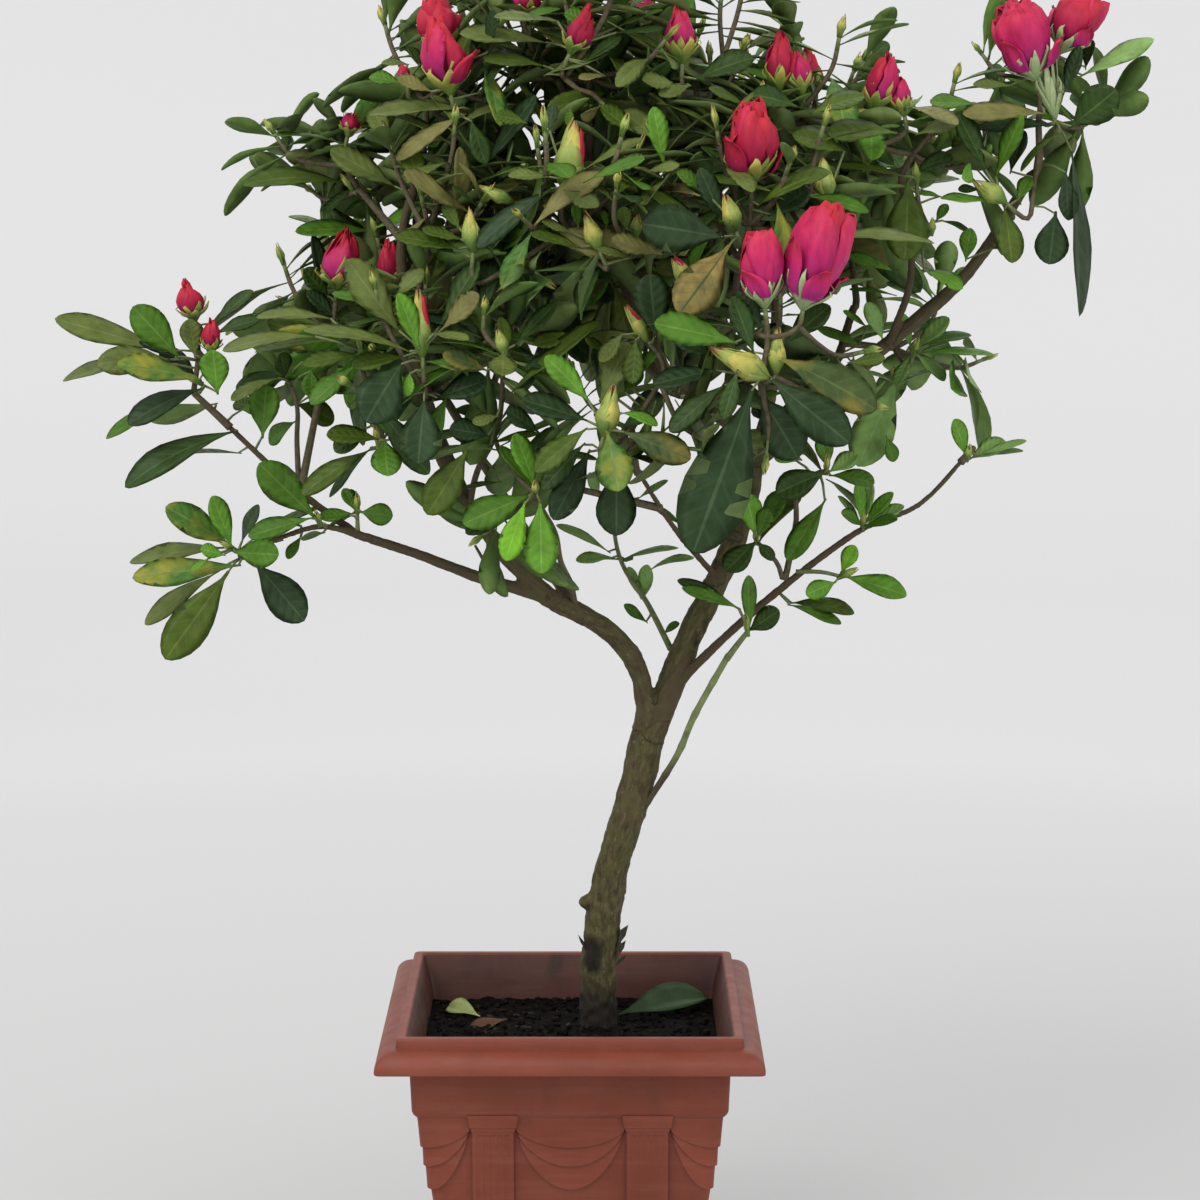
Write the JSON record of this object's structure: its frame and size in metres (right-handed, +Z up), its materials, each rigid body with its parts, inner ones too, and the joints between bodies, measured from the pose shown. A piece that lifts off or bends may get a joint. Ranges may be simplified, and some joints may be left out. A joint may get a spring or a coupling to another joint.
{
  "type": "azalea bonsai",
  "caption": "Potted azalea bonsai: leaning trunk, open spreading crown of dark leaves and half-open red blossoms, in a square moulded pot with a rolled rim, columns and swags.",
  "frame": {"origin": "centre of the pot's flat underside, where it rests", "axes": "+Z up, -Y toward the front that the picture shows, +X to the viewer's right"},
  "size_m": [0.4862, 0.3401, 0.6218],
  "materials": {
    "pot": "matt moulded terracotta red-brown plastic",
    "soil": "dark moist peaty soil",
    "bark": "olive-brown bark, matt",
    "young_bark": "young green bark",
    "foliage": "dark green leaves with a soft sheen",
    "blossom": "crimson-rose petals"
  },
  "bodies": {
    "root": {"back_bough": "bark", "back_left_bough": "bark", "back_right_bough": "bark", "centre_bough": "bark", "foliage_back_left": "foliage", "foliage_back_middle": "foliage", "foliage_back_middle_left": "foliage", "foliage_back_right": "foliage", "foliage_back_upper": "foliage", "foliage_back_upper_left": "foliage", "foliage_back_upper_right": "foliage", "foliage_centre_bud": "foliage", "foliage_drooping": "foliage", "foliage_front_bud": "foliage", "foliage_front_pair": "foliage", "foliage_front_upper": "foliage", "foliage_inner_middle": "foliage", "foliage_left_front": "foliage", "foliage_left_low": "foliage", "foliage_left_pair": "foliage", "foliage_left_tip": "foliage", "foliage_middle_left": "foliage", "foliage_right_behind": "foliage", "foliage_right_first": "foliage", "foliage_right_low": "foliage", "foliage_right_low_base": "foliage", "foliage_right_low_tip": "foliage", "foliage_right_middle": "foliage", "foliage_right_second": "foliage", "foliage_right_top": "foliage", "foliage_stem_shoot": "foliage", "foliage_top_left": "foliage", "foliage_top_middle": "foliage", "foliage_top_right": "foliage", "foliage_upper_left": "foliage", "foliage_upper_left_tip": "foliage", "front_bough": "bark", "front_left_bough": "bark", "green_shoot": "young_bark", "leader": "bark", "left_bough": "bark", "left_low_branch": "bark", "left_low_twig": "bark", "left_tip_branch": "bark", "left_upper_bough": "bark", "pot": "pot", "right_bough": "bark", "right_centre_bough": "bark", "right_low_branch": "bark", "right_up_branch": "bark", "soil": "soil", "top_bough": "bark", "trunk": "bark", "upper_left_bough": "bark"}
  },
  "joints": []
}
